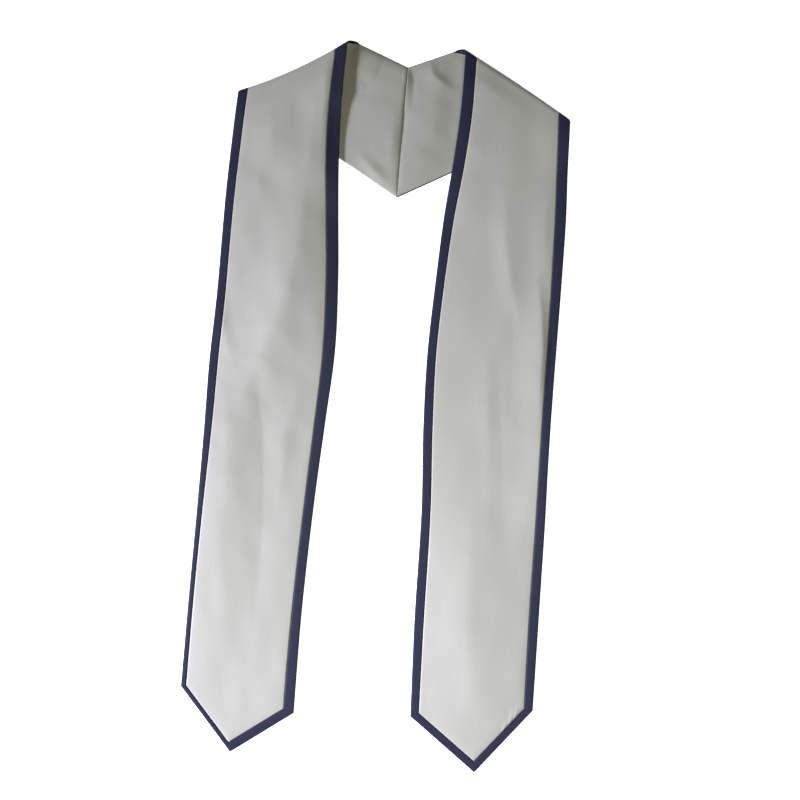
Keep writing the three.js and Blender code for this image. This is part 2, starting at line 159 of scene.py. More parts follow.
# Soft folds of a whole front panel: each one's run-out, which is 1 for straight flanks and more for flanks
# that flatten out, and then its path from the shoulder towards the point. Each place of a path has its shares
# along and across the panel, and in mm the fold's height and how far it falls off on its neck and outer side.
PANEL_FOLDS = {
    "left": (
        (1.25, (
            (0.03, 0.23, 1, 34, 60), (0.07, 0.246, 2.6, 38, 110), (0.12, 0.27, 4, 42, 140),
            (0.18, 0.3, 5.8, 46, 130), (0.24, 0.335, 7.2, 54, 105), (0.29, 0.36, 7.8, 62, 88),
            (0.345, 0.405, 8, 76, 68), (0.4, 0.489, 7, 88, 55), (0.445, 0.583, 5, 78, 48),
            (0.5, 0.68, 2.2, 52, 34), (0.54, 0.74, 0.6, 40, 28))),
        (0.85, (
            (0.5, 0.86, 1, 36, 30), (0.56, 0.8, 3, 38, 40), (0.64, 0.78, 3.3, 42, 50),
            (0.72, 0.76, 2.8, 44, 50), (0.81, 0.74, 1.9, 42, 50), (0.92, 0.7, 0.7, 36, 40))),
        (1.9, (
            (0, 0.17, 2, 18, 34), (0.08, 0.16, 3, 18, 34), (0.15, 0.13, 2, 18, 34),
            (0.2, 0.1, 0.4, 14, 34))),
        (1.5, (
            (0.35, 0.98, 0.5, 14, 20), (0.4, 0.9, 1.3, 14, 20), (0.45, 0.82, 0.5, 14, 20))),
        (1.4, (
            (0.52, 0.27, 0.5, 24, 30), (0.55, 0.297, 1.7, 24, 36), (0.587, 0.325, 1.2, 22, 36),
            (0.64, 0.3, 0.3, 16, 30))),
        (1.5, (
            (0.6, 0.3, 0.3, 24, 22), (0.66, 0.3, 0.5, 24, 22), (0.74, 0.3, 0.2, 24, 22))),
        (1.5, (
            (0.04, 0.66, 0.4, 20, 25), (0.075, 0.63, 1.2, 20, 25), (0.12, 0.6, 0.4, 20, 25))),
        (1.5, (
            (0.14, 0.72, 0.3, 16, 20), (0.165, 0.7, 0.9, 16, 20), (0.19, 0.68, 0.3, 16, 20))),
        (1.5, (
            (0.03, 0, 1, 30, 26), (0.07, 0, 3.4, 30, 26), (0.13, 0, 0.6, 30, 26))),
    ),
    "right": (
        (1.4, (
            (0.17, 0.48, 0.4, 18, 28), (0.22, 0.5, 1.4, 20, 30), (0.27, 0.55, 1.8, 20, 28),
            (0.315, 0.61, 1.3, 20, 24), (0.35, 0.68, 0.3, 16, 20))),
        (1.2, (
            (0.02, 0, 0.2, 20, 90), (0.06, 0, 2.2, 20, 105), (0.12, 0, 4.2, 20, 112),
            (0.17, 0, 3, 20, 110), (0.23, 0, 0.4, 20, 90))),
        (1.4, (
            (0.28, 0.8, 0.4, 30, 11), (0.33, 0.85, 1.7, 32, 11), (0.39, 0.885, 2.6, 34, 11),
            (0.45, 0.89, 2, 32, 11), (0.5, 0.9, 0.6, 26, 11))),
        (1.25, (
            (0.45, 0.475, 0.4, 50, 14), (0.53, 0.5, 1.4, 60, 15), (0.6, 0.52, 0.8, 60, 17),
            (0.68, 0.53, 0.6, 55, 22), (0.8, 0.55, 0.3, 45, 26))),
        (1.5, (
            (0.46, 1, 0.8, 46, 10), (0.54, 1, 3, 52, 10), (0.66, 1, 2.8, 52, 10),
            (0.76, 1, 0.5, 46, 10))),
        (1.3, (
            (0.66, 0.4, 0.8, 50, 60), (0.75, 0.42, 3.6, 50, 76), (0.86, 0.44, 4.4, 54, 84),
            (0.97, 0.5, 3.4, 54, 80))),
        (1.5, (
            (0.14, 0.84, 0.3, 26, 16), (0.19, 0.82, 0.9, 26, 16), (0.25, 0.86, 0.3, 26, 16))),
    ),
}

# Soft folds in the lining of the back. The places of their paths are all in mm: out from the centre seam and
# up from the neck notch, the height, and how far it falls off towards the centre seam and away from it.
BACK_FOLDS = {
    "left": (
        (1.4, ((0.2, -2, 0.5, 3, 6), (0.3, -9, 1.1, 3, 7), (0.3, -19, 0.3, 3, 7))),
        (1.5, ((10, -55, 0.3, 9, 17), (10, -84, 1.3, 9, 18), (11, -106, 0.5, 9, 14))),
        (1.5, (
            (48, -99, 0.2, 12, 12), (37, -112, 1.7, 12, 12), (26, -122, 1.6, 11, 12),
            (14, -132, 0.6, 9, 10))),
        (0.8, ((55.6, 16, 3.2, 32, 8), (56, -5, 3.2, 24, 8), (54.5, -24, 1.3, 10, 8))),
    ),
    "right": (
        (1.2, (
            (0.1, -2, 1.4, 3, 4), (0.2, -12, 3.6, 3, 7.5), (0.3, -26, 2.8, 3, 8), (0.4, -50, 0.3, 3, 8))),
        (1.5, (
            (25, 7, 0.8, 18, 8), (29, -6, 1.9, 20, 9), (40, -14, 1.6, 20, 10), (52, -20, 0.5, 18, 9))),
        (1.5, ((56, -99, 0.5, 22, 12), (40, -109, 0.9, 24, 13), (26, -117, 0.5, 20, 11))),
        (1.1, (
            (0.2, -84, 0.2, 3, 20), (0.2, -104, 1.5, 3, 32), (0.2, -126, 1.7, 3, 30), (0.2, -140, 1, 3, 20))),
        (1.6, ((32, -24, 0.3, 22, 24), (35, -60, 1.1, 24, 26), (35, -90, 0.3, 24, 24))),
    ),
}

# Puckers of the satin beside the outer seam of a point: how far along the seam from its corner each one ends,
# as a share, then in mm its length, its height and how far it falls off on its neck side and its outer side.
POINT_PUCKERS = {
    "left": (),
    "right": (
        (0.1, 9, 0.5, 4.6, 2.3), (0.19, 12, 1.0, 4.8, 2.3), (0.285, 14, 1.1, 5, 2.4),
        (0.385, 11, 0.8, 5, 2.5)),
}
PUCKER_LEAN = math.radians(14)
PUCKER_RUN_OUT = 1.1
PUCKER_START = 0.3

# Small ripples beside every seam: their two wavelengths and how fast they die out away from the seam.
RIPPLE_WAVES = (13 * MM, 26 * MM)
RIPPLE_REACH = 8 * MM

# Wavelengths of the low waves of a panel, of the satin and of the lining. Along the stole they are longer,
# because only this share of a distance counts there. Each pattern adds up this many waves, whose lengths lie
# between these shares of the wavelength.
PANEL_WAVE = 90 * MM
SATIN_WAVE = 34 * MM
LINING_WAVE = 30 * MM
PANEL_WAVE_SQUASH = 0.6
SATIN_WAVE_SQUASH = 0.5
NOISE_WAVES = 7
NOISE_LENGTHS = (0.7, 1.5)

# Where each set of waves starts, so that they differ from each other and stay the same on each run.
PANEL_SEED = 11
NECK_SEED = 21
OUTER_SEED = 31
POINT_SEED = 41
SATIN_SEED = 61
LINING_SEED = 71
BACK_SEED = 81

# Rows are counted over the back from 0 to 1, the fold to 2 and the front panel to 3. Between these, the satin
# gets its puff, the back's billow ends, and the lining is drawn in at the peak, baring the dark trim as
# painted shade, and comes back.
PUFF_STARTS = (1.85, 2.12)
BILLOW_ENDS = (0.9, 1.0)
SHADE_SLIP_STARTS = (0.93, 1.18)
SHADE_SLIP_ENDS = (1.5, 1.8)

# How far from its edges the satin's unrest and ripples begin, and the lining's from its neck and outer edge.
SATIN_SETTLE = 10 * MM
RIPPLE_SETTLE = 1.2 * MM
LINING_SETTLE = (4 * MM, 8 * MM)

# The billow beside the centre seam keeps its height to the first of these distances, and has lost this share
# of it at the second.
BILLOW_FALLS = (BILLOW_REACH / 2, BILLOW_REACH * 1.3)
BILLOW_LOSS = 0.92

# On the right the lining is rounded down into the centre seam over less cloth, by this share of the roll.
RIGHT_SEAM_SHARPNESS = 0.8

# How much cloth is rounded away at a seam, at a trim's seam and at a mitre.
SEAM_DROP = 0.8 * CLOTH
TRIM_DROP = 0.75 * CLOTH
MITRE_DROP = 0.3 * CLOTH
TRIM_ROLL = 0.9 * MM

# Between two seams the distance to the nearer one is rounded over this length.
SEAM_BLEND = 4 * MM

# Cross section of a trim: places beside its seam, shares of the way from there to where its edge rounds, and
# the number of places round the edge. There both faces end this deep under the middle surface, and the inner
# one this far in from the edge. The inner face has this share of the outer one's puff.
TRIM_STEPS = np.array([0, 0.2, 0.5, 0.9, 1.5]) * MM
TRIM_SHARES = np.array([0.25, 0.5, 0.7, 0.86, 1.0])
TRIM_TURNS = 7
OUTER_DEPTH = 0.1 * MM
INNER_DEPTH = 0.08 * MM
INNER_END = 0.8 * MM
INNER_PUFF = 0.9

# The centre seam and the mitres are sewn close. The first is given as a share of the back's mean width.
BACK_MEAN = 90 * MM
SEAM_START = 0.02 * MM / BACK_MEAN
MITRE_GAP = 0.03 * MM

# How finely the cloth is divided.
ROW_PITCH = 2.7 * MM
BACK_ROWS = 62
FOLD_ROWS = 22
COLUMN_PITCH = 2.8 * MM
PUCKER_PITCH = 1.1 * MM
MITRE_COLUMNS = 26
SEAM_COLUMNS = (0, 0.18 * MM, 0.45 * MM, 0.85 * MM, 1.4 * MM, 2.4 * MM, 3.8 * MM)
SMOOTH_ANGLE = math.radians(55)

# The photograph's view, from straight above: 800 pixels take in this width of the surface.
VIEW_WIDTH = 901.6 * MM
VIEW_MIDDLE = (20.2 * MM, 6.0 * MM)
VIEW_TURN = math.radians(4.84)
CAMERA_HEIGHT = 2.4
SENSOR = 36.0
FLOOR_SIZE = 14.0
FLOOR_GAP = 0.3 * MM
CLIP_END = 50

# The lamps: soft discs, with place, aim and size in metres, spread in degrees and power in watts.
STUDIO_LAMPS = (
    {"name": "key_from_left", "place": (-2.6, -0.8, 1.35), "aim": (0.15, -0.45, 0), "size": 0.55,
     "spread": 52, "power": 27.8, "colour": "#f5f5ff"},
    {"name": "soft_from_above", "place": (0.3, -0.4, 1.7), "aim": (0.25, -0.4, 0), "size": 0.8,
     "spread": 180, "power": 14.2, "colour": "#fffede"},
)


def lerp(start, end, share):
    return start + (end - start) * share


def smoothstep(value, low, high):
    share = np.clip((value - low) / (high - low), 0, 1)
    return share * share * (3 - 2 * share)


def at_height(x, y, z=0.0):
    x, y, z = np.broadcast_arrays(x, y, z)
    return np.stack([x, y, z], axis=-1).astype(float)


def unit(vectors):
    return vectors / np.maximum(np.linalg.norm(vectors, axis=-1, keepdims=True), 1e-12)


def section_value(side, along, column):
    """One column of a side's sections at shares along the panel, on a smooth curve through the rows."""
    table = np.array(side["sections"])
    x = table[:, 0]
    y = table[:, SECTION_COLUMNS.index(column)]
    last = len(x) - 1
    i = np.clip(np.searchsorted(x, along) - 1, 0, last - 1)
    before = np.maximum(i - 1, 0)
    after = np.minimum(i + 2, last)
    run = x[i + 1] - x[i]
    s = (along - x[i]) / run
    start_slope = (y[i + 1] - y[before]) / (x[i + 1] - x[before]) * run
    end_slope = (y[after] - y[i]) / (x[after] - x[i]) * run
    return (
        y[i] * (2 * s**3 - 3 * s**2 + 1)
        + start_slope * (s**3 - 2 * s**2 + s)
        + y[i + 1] * (3 * s**2 - 2 * s**3)
        + end_slope * (s**3 - s**2)
    )


def section_at(side, along):
    """Neck edge, outer edge and the two trims' widths of a front panel."""
    inner = HALF_NECK * section_value(side, along, "neck_edge")
    outer = inner + PANEL_WIDTH * section_value(side, along, "width")
    neck_trim = TRIM_WIDTH * section_value(side, along, "neck_trim")
    outer_trim = TRIM_WIDTH * section_value(side, along, "outer_trim")
    return inner, outer, neck_trim, outer_trim


def fold_radius(side, across):
    return HALF_LAYER + lerp(FOLD_OPEN_NECK * side["fold"], FOLD_OPEN_OUTER, across) / 2


def fold_shift(side, across):
    return math.pi * fold_radius(side, across) / math.tan(BAND_TURN)


def fold_top(side, across):
    """Where the front panel leaves the shoulder fold."""
    inner, outer, _, _ = section_at(side, 0.0)
    overhang = (fold_radius(side, 0.0) + HALF_LAYER) * math.cos(SHOULDER_SLOPE)
    wound = fold_shift(side, 0.0) / 2 * math.sin(SHOULDER_SLOPE)
    fall = across * (outer - inner) * math.tan(SHOULDER_SLOPE)
    bow = SHOULDER_BOW * side["bow"] * 4 * across * (1 - across)
    y = NECK_RISE * side["peak"] - overhang - wound - fall - bow
    return at_height(lerp(inner, outer, across), y)


def fold_bottom(side, across):
    """Where the back layer reaches the shoulder fold."""
    along = at_height(math.cos(SHOULDER_SLOPE), -math.sin(SHOULDER_SLOPE))
    return fold_top(side, across) - along * fold_shift(side, across)[..., None]


def back_point(side, share, across):
    seam = at_height(0.0 * across, -BACK_SEAM * across)
    place = lerp(seam, fold_bottom(side, across), share[..., None])
    place[..., 2] = HALF_LAYER
    return place


def fold_point(side, share, across):
    radius = fold_radius(side, across)
    angle = math.pi * share
    away = at_height(math.sin(SHOULDER_SLOPE), math.cos(SHOULDER_SLOPE))
    place = lerp(fold_bottom(side, across), fold_top(side, across), share[..., None])
    place = place + away * (radius * np.abs(np.sin(angle)) ** FOLD_PRESS)[..., None]
    rise = np.sign(np.cos(angle)) * np.abs(np.cos(angle)) ** FOLD_PRESS
    place[..., 2] = HALF_LAYER + radius * (1 - rise)
    return place


def front_plan(side, along, across):
    """A place on a front panel, before its lower end is drawn down into the point."""
    inner, outer, _, _ = section_at(side, along)
    start = fold_top(side, across)[..., 1]
    end = -PANEL_LENGTH * lerp(side["inner_corner"], side["outer_corner"], across)
    return at_height(lerp(inner, outer, across), lerp(start, end, along))


def plan_at(side, along, across):
    return front_plan(side, np.array(float(along)), np.array(float(across)))


def fold_lift(place, path, run_out):
    """Height of a soft fold, whose far side is the one away from the centre line."""
    height = np.zeros(place.shape[:-1])
    for start, end in zip(path, path[1:]):
        line = end[:2] - start[:2]
        to = place[..., :2] - start[:2]
        share = np.clip(to @ line / (line @ line), 0, 1)
        away = to - share[..., None] * line
        distance = np.linalg.norm(away, axis=-1)
        sine = (line[0] * away[..., 1] - line[1] * away[..., 0]) / (np.linalg.norm(line) * distance + 1e-9)
        top, near_spread, far_spread = [lerp(start[k], end[k], share) for k in (2, 3, 4)]
        reach = distance / lerp(near_spread, far_spread, 0.5 + 0.5 * sine)
        full = math.hypot(1, FOLD_ROUNDING) - FOLD_ROUNDING
        reach = (np.hypot(reach, FOLD_ROUNDING) - FOLD_ROUNDING) / full
        height = np.maximum(height, top * (1 - np.minimum(reach, 1)) ** run_out)
    return height


def panel_folds(side, place):
    lift = np.zeros(place.shape[:-1])
    for run_out, rows in PANEL_FOLDS[side["name"]]:
        path = [np.array([*plan_at(side, *row[:2])[:2], *np.multiply(row[2:], MM)]) for row in rows]
        lift = lift + fold_lift(place, path, run_out)
    return lift


def back_folds(side, place):
    folds = BACK_FOLDS[side["name"]]
    return sum(fold_lift(place, np.array(rows) * MM, run_out) for run_out, rows in folds)


def point_puckers(side, place):
    """Short folds of the satin, each running down to the outer seam of the point."""
    _, tip, corner = point_inset(side, *trim_widths(side))
    up = np.array([math.sin(PUCKER_LEAN), math.cos(PUCKER_LEAN)])
    lift = np.zeros(place.shape[:-1])
    for share, length, top, near_spread, far_spread in POINT_PUCKERS[side["name"]]:
        end = lerp(corner, tip, share)[:2]
        start = end + up * length * MM
        spreads = np.array([near_spread, far_spread]) * MM
        path = [np.array([*start, PUCKER_START * top * MM, *spreads]), np.array([*end, top * MM, *spreads])]
        lift = np.maximum(lift, fold_lift(place, path, PUCKER_RUN_OUT))
    return lift


def soft_noise(x, y, wavelength, seed):
    """Smooth bumps between about -1 and 1, the same on each run."""
    random = np.random.default_rng(seed)
    total = np.zeros(np.broadcast(x, y).shape)
    for _ in range(NOISE_WAVES):
        turn = random.uniform(0, math.tau)
        length = wavelength * random.uniform(*NOISE_LENGTHS)
        phase = random.uniform(0, math.tau)
        total = total + np.sin((x * math.cos(turn) + y * math.sin(turn)) / length * math.tau + phase)
    return total / math.sqrt(NOISE_WAVES)


def front_height(side, place, across, sizes):
    """Height of the middle of a front panel over the surface."""
    corner = fold_bottom(side, np.array(1.0))
    edge = unit(np.array([corner[0], corner[1] + BACK_SEAM]))
    past_edge = edge[1] * place[..., 0] - edge[0] * (place[..., 1] + BACK_SEAM)
    on_back = STACK * (1 - smoothstep(past_edge, EDGE_HOLD, EDGE_HOLD + EDGE_RUN))
    run = lerp(CURL_RUN_NECK * side["neck_curl"], CURL_RUN_OUTER, across)
    from_fold = (fold_top(side, across)[..., 1] - place[..., 1]) * math.cos(SHOULDER_SLOPE)
    curl = (2 * fold_radius(side, across) - STACK) * (1 - smoothstep(from_fold, np.zeros_like(run), run))
    start = smoothstep(from_fold, 0.0, FOLDS_START)
    waves = soft_noise(place[..., 0], place[..., 1] * PANEL_WAVE_SQUASH, PANEL_WAVE, PANEL_SEED)
    unrest = sizes.cloth_unrest * (1 + waves) / 2
    return HALF_LAYER + on_back + curl + start * (panel_folds(side, place) * sizes.fold_strength + unrest)


def border_corner(before, corner, after, inset_before, inset_after):
    """Where two neighbouring edges meet once each is moved inwards by its own inset."""
    def inwards(a, b):
        return unit(np.array([a[1] - b[1], b[0] - a[0]]))
    first = inwards(before, corner)
    second = inwards(corner, after)
    turn = first[0] * second[1] - first[1] * second[0]
    x = (inset_before * second[1] - inset_after * first[1]) / turn
    y = (inset_after * first[0] - inset_before * second[0]) / turn
    return np.array([corner[0] + x, corner[1] + y, 0.0])


def point_edge(side):
    """The outer edge of the point: its inner corner, tip and outer corner."""
    inner = plan_at(side, 1, 0)
    outer = plan_at(side, 1, 1)
    tip = lerp(inner, outer, side["tip_across"])
    tip[1] -= POINT_DROP * side["tip_drop"]
    return inner, tip, outer


def point_inset(side, neck, inner_point, outer_point, outer):
    """The point's three corners moved inwards from each edge by its own inset."""
    above = 0.9
    inner_corner, tip, outer_corner = point_edge(side)
    return (
        border_corner(plan_at(side, above, 0), inner_corner, tip, neck, inner_point),
        border_corner(inner_corner, tip, outer_corner, inner_point, outer_point),
        border_corner(tip, outer_corner, plan_at(side, above, 1), outer_point, outer),
    )


def trim_widths(side, along=1.0):
    """Widths of the neck trim, the two point trims and the outer trim at the point."""
    _, _, neck, outer = section_at(side, along)
    return neck, TRIM_WIDTH * side["inner_point_trim"], TRIM_WIDTH * side["outer_point_trim"], outer


def shares_per_metre(side, t):
    """How much of the way across a row a metre is, square to the neck edge and to the outer edge."""
    back = np.clip(t, 0, 1)
    neck_end = back_point(side, back, np.zeros_like(back))
    row = back_point(side, back, np.ones_like(back)) - neck_end
    scales = []
    for across in (0.0, 1.0):
        ends = [back_point(side, np.array(float(share)), np.array(across)) for share in (0, 1)]
        edge = unit(ends[1] - ends[0])
        scales.append(1 / np.linalg.norm(np.cross(row, edge), axis=-1))
    inner, outer, _, _ = section_at(side, np.clip(t - 2, 0, 1))
    front = 1 / (outer - inner)
    over = np.clip(t - 1, 0, 1)
    return [lerp(scale, front, over) for scale in scales]


def place_at(side, t, across):
    """Middle surface of a half's cloth: t runs over the back to 1, the fold to 2 and the front panel to 3."""
    back = back_point(side, np.clip(t, 0, 1), across)
    fold = fold_point(side, np.clip(t - 1, 0, 1), across)
    front = front_plan(side, np.clip(t - 2, 0, 1), across)
    return np.where((t < 1)[..., None], back, np.where((t < 2)[..., None], fold, front))


def point_pull(t):
    """How far a row is drawn into the point."""
    return np.clip((t - 2 - POINT_BLEND) / (1 - POINT_BLEND), 0, 1) ** 2


def laid_out(side, t, across, target, sizes):
    """Places of a half's cloth, with the lower end drawn to its target and the panel's height put in."""
    place = place_at(side, t, across)
    shift = target - front_plan(side, np.ones_like(across), across)
    shift[..., 2] = 0
    place = place + shift * point_pull(t)[..., None]
    height = front_height(side, place, across, sizes)
    place[..., 2] = np.where(t >= 2, height, place[..., 2])
    return place


def band_grid(side, rows, columns, neck_inset, outer_inset, corners, sizes):
    """Places on the middle surface, on rows from one inset to the other. Columns run from 0 to 1."""
    t = np.repeat(rows[:, None], len(columns), 1)
    neck_scale, outer_scale = shares_per_metre(side, rows)
    start = (neck_inset * neck_scale)[:, None]
    end = 1 - (outer_inset * outer_scale)[:, None]
    tip = side["tip_across"]
    first_half = columns[None, :] <= 0.5
    across = np.where(
        first_half,
        lerp(start, tip, columns[None, :] * 2),
        lerp(tip, end, columns[None, :] * 2 - 1),
    )
    first, middle, last = corners
    target = np.where(
        first_half[..., None],
        lerp(first, middle, (columns * 2)[None, :, None]),
        lerp(middle, last, (columns * 2 - 1)[None, :, None]),
    )
    return laid_out(side, t, across, target, sizes)


def edge_grid(side, rows, insets, which, sizes):
    """Places on the middle surface at distances in from the neck edge or the outer edge."""
    t = np.repeat(rows[:, None], insets.shape[1], 1)
    scale = shares_per_metre(side, rows)[0 if which == "neck" else 1][:, None]
    across = insets * scale if which == "neck" else 1 - insets * scale
    widths = trim_widths(side)
    corner = 0 if which == "neck" else -1
    share = insets / widths[corner]
    target = lerp(point_edge(side)[corner], point_inset(side, *widths)[corner], share[..., None])
    return laid_out(side, t, across, target, sizes)


def grid_normals(grid):
    """Normals of a grid of places, towards the satin side."""
    return unit(np.cross(np.gradient(grid, axis=0), np.gradient(grid, axis=1)))


def band_rows():
    """Rows of a half: over the back, the fold and the front panel, closer together at both ends."""
    seam = np.array(SEAM_COLUMNS) / BACK_MEAN
    back = np.concatenate([seam, np.linspace(seam[-1], 1, BACK_ROWS)[1:-1]])
    fold = np.linspace(1, 2, FOLD_ROWS)[:-1]
    front_count = int(PANEL_LENGTH / ROW_PITCH)
    front = np.linspace(2, 3, front_count)
    end = 3 - np.array(SEAM_COLUMNS)[::-1] / PANEL_LENGTH
    front = np.concatenate([front[front < end[0] - 1 * MM / PANEL_LENGTH], end])
    return np.concatenate([back, fold, front])


def band_columns(outer_pitch=COLUMN_PITCH):
    """Columns of a half, closer together at both edges, with one at the tip's place."""
    seam = np.array(SEAM_COLUMNS) / PANEL_WIDTH
    first, second = [
        np.concatenate([seam[:-1], np.linspace(seam[-1], 0.5, int(PANEL_WIDTH / pitch / 2))])
        for pitch in (COLUMN_PITCH, outer_pitch)
    ]
    return np.concatenate([first, 1 - second[::-1][1:]])


def steps(grid, axis):
    """Real lengths from each place of a grid to the next, down its columns (0) or across its rows (1)."""
    return np.linalg.norm(np.diff(grid, axis=axis), axis=-1)


def running(lengths, axis):
    """Sums of lengths from the first place on."""
    return np.insert(np.cumsum(lengths, axis=axis), 0, 0, axis=axis)


def path_lengths(grid):
    """Real lengths along each column and across each row of a grid, from its middle column and first row."""
    middle = grid.shape[1] // 2
    u = running(steps(grid, 1), 1)
    v = running(steps(grid, 0)[:, middle : middle + 1], 0)
    return np.stack(np.broadcast_arrays(u - u[:, middle : middle + 1], v), axis=-1)


def frame_offset():
    """From the neck notch, where the band's sums start, to the frame's own origin."""
    seam_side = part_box("lining_back_left")[1].x
    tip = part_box("trim_point_outer_right")[0].y
    return np.array([seam_side + FRAME_SEAM_GAP / 2, tip - point_edge(RIGHT)[1][1], 0.0])


def solid_sheet(name, side, upper, lower, uv):
    """A closed sheet of cloth between two grids of places, mirrored for the left side."""
    rows, columns = upper.shape[:2]
    places = np.concatenate([upper.reshape(-1, 3), lower.reshape(-1, 3)])
    places = places * np.array([side["turn"], 1, 1]) + frame_offset()
    index = np.arange(rows * columns).reshape(rows, columns)
    under = index + rows * columns
    top = np.stack([index[:-1, :-1], index[1:, :-1], index[1:, 1:], index[:-1, 1:]], -1).reshape(-1, 4)
    bottom = np.stack([under[:-1, :-1], under[:-1, 1:], under[1:, 1:], under[1:, :-1]], -1).reshape(-1, 4)
    rim = np.concatenate([index[:, 0], index[-1, 1:], index[-2::-1, -1], index[0, -2:0:-1]])
    after = np.roll(rim, -1)
    edge = np.stack([after, rim, rim + rows * columns, after + rows * columns], -1)
    faces = np.concatenate([top, bottom, edge]).astype(np.int32)
    if side["turn"] < 0:
        faces = faces[:, ::-1]
    mesh = bpy.data.meshes.new(name)
    mesh.vertices.add(len(places))
    mesh.vertices.foreach_set("co", places.astype(np.float32).ravel())
    mesh.loops.add(faces.size)
    mesh.loops.foreach_set("vertex_index", faces.ravel())
    mesh.polygons.add(len(faces))
    mesh.polygons.foreach_set("loop_start", np.arange(0, faces.size, 4, dtype=np.int32))
    mesh.update(calc_edges=True)
    both = np.concatenate([uv.reshape(-1, 2), uv.reshape(-1, 2)])
    layer = mesh.uv_layers.new(name=UV_NAME)
    layer.data.foreach_set("uv", both[faces.ravel()].astype(np.float32).ravel())
    work = bmesh.new()
    work.from_mesh(mesh)
    bmesh.ops.recalc_face_normals(work, faces=work.faces)
    work.to_mesh(mesh)
    work.free()
    mesh.validate()
    piece = bpy.data.objects.new(name, mesh)
    bpy.context.scene.collection.objects.link(piece)
    bpy.ops.object.select_all(action="DESELECT")
    bpy.context.view_layer.objects.active = piece
    piece.select_set(True)
    bpy.ops.object.shade_smooth_by_angle(angle=SMOOTH_ANGLE)
    piece.select_set(False)
    return piece


def finished(piece, material, nodes):
    """Gives a piece its finish, hangs it under its body's empty, and hides the model's parts it was cut from.
    """
    piece.data.materials.append(material)
    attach(piece, BODY)
    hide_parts(*nodes)
    return piece


def seam_distances(grid):
    """Distance of each place of a grid from its first and last columns, and from its first and last rows."""
    across = running(steps(grid, 1), 1)
    along = running(steps(grid, 0), 0)
    return across, across[:, -1:] - across, along, along[-1:] - along


def rolled(distance, reach, drop):
    """How far the top of a sheet is rounded down at its edge."""
    share = np.clip(1 - distance / reach, 0, 1)
    return drop * (1 - np.sqrt(1 - share**2))


def near(*distances):
    """The smallest of several distances, rounded where two are alike."""
    total = sum(np.exp(-np.maximum(distance, 0) / SEAM_BLEND) for distance in distances)
    return np.maximum(-SEAM_BLEND * np.log(total), 0)


def seam_puckers(along_seam, distance, seed):
    """Short ripples square to a seam, dying out away from it."""
    still = np.zeros_like(along_seam)
    waves = [soft_noise(along_seam, still, wave, seed + i) for i, wave in enumerate(RIPPLE_WAVES)]
    return sum(waves) / len(waves) * np.exp(-distance / RIPPLE_REACH)


# Cloth of one side


def band_sheet(side, kind, grid, low, high, material):
    """A whole half's sheet between two heights over the middle surface."""
    normals = grid_normals(grid)
    upper = grid + normals * high[..., None]
    lower = grid + normals * low[..., None]
    piece = solid_sheet(f"{kind}_band_{side['name']}", side, upper, lower, path_lengths(grid))
    nodes = (f"{kind}_back_{side['name']}", f"{kind}_front_{side['name']}")
    return finished(piece, material, nodes)


def trim_sheet(side, name, upper, lower, material, nodes):
    """A trim between its outer and inner face."""
    piece = solid_sheet(f"{name}_{side['name']}", side, upper, lower, path_lengths(upper))
    return finished(piece, material, nodes)


def satin_piece(side, sizes, material):
    """The satin between the trims: it puffs up between its seams and is rounded down into them."""
    gap = sizes.seam_gap / 2
    rows = band_rows()
    columns = band_columns(PUCKER_PITCH if POINT_PUCKERS[side["name"]] else COLUMN_PITCH)
    along = np.clip(rows - 2, 0, 1)
    _, _, neck_trim, outer_trim = section_at(side, along)
    corners = point_inset(side, *(width + gap for width in trim_widths(side)))
    rows_in = rows.copy()
    rows_in[0] = SEAM_START
    grid = band_grid(side, rows_in, columns, neck_trim + gap, outer_trim + gap, corners, sizes)
    from_neck, from_outer, from_back, from_point = seam_distances(grid)
    t = np.repeat(rows[:, None], len(columns), 1)
    on_front = smoothstep(t, *PUFF_STARTS)
    edge_distance = near(from_neck, from_outer, from_point)
    puff = sizes.satin_puff * on_front * (1 - np.exp(-edge_distance / sizes.puff_reach))
    ripple = sizes.seam_pucker * on_front * (
        seam_puckers(from_back, from_neck, NECK_SEED + side["turn"])
        + seam_puckers(from_back, from_outer, OUTER_SEED + side["turn"])
        + seam_puckers(from_neck, from_point, POINT_SEED + side["turn"])
    )
    ripple = ripple + point_puckers(side, grid)
    waves = soft_noise(grid[..., 0], grid[..., 1] * SATIN_WAVE_SQUASH, SATIN_WAVE, SATIN_SEED + side["turn"])
    fine = sizes.fine_unrest * on_front * waves
    settle = 1 - np.exp(-edge_distance / SATIN_SETTLE)
    lift = puff + ripple * (1 - np.exp(-edge_distance / RIPPLE_SETTLE)) + fine * settle
    base = LAYER_GAP / 2 + np.maximum(lift, 0)
    rim = np.minimum(np.minimum(from_neck, from_outer), np.minimum(from_point, from_back))
    top = base + CLOTH - rolled(rim, sizes.seam_roll, SEAM_DROP)
    return band_sheet(side, "satin", grid, base, top, material)


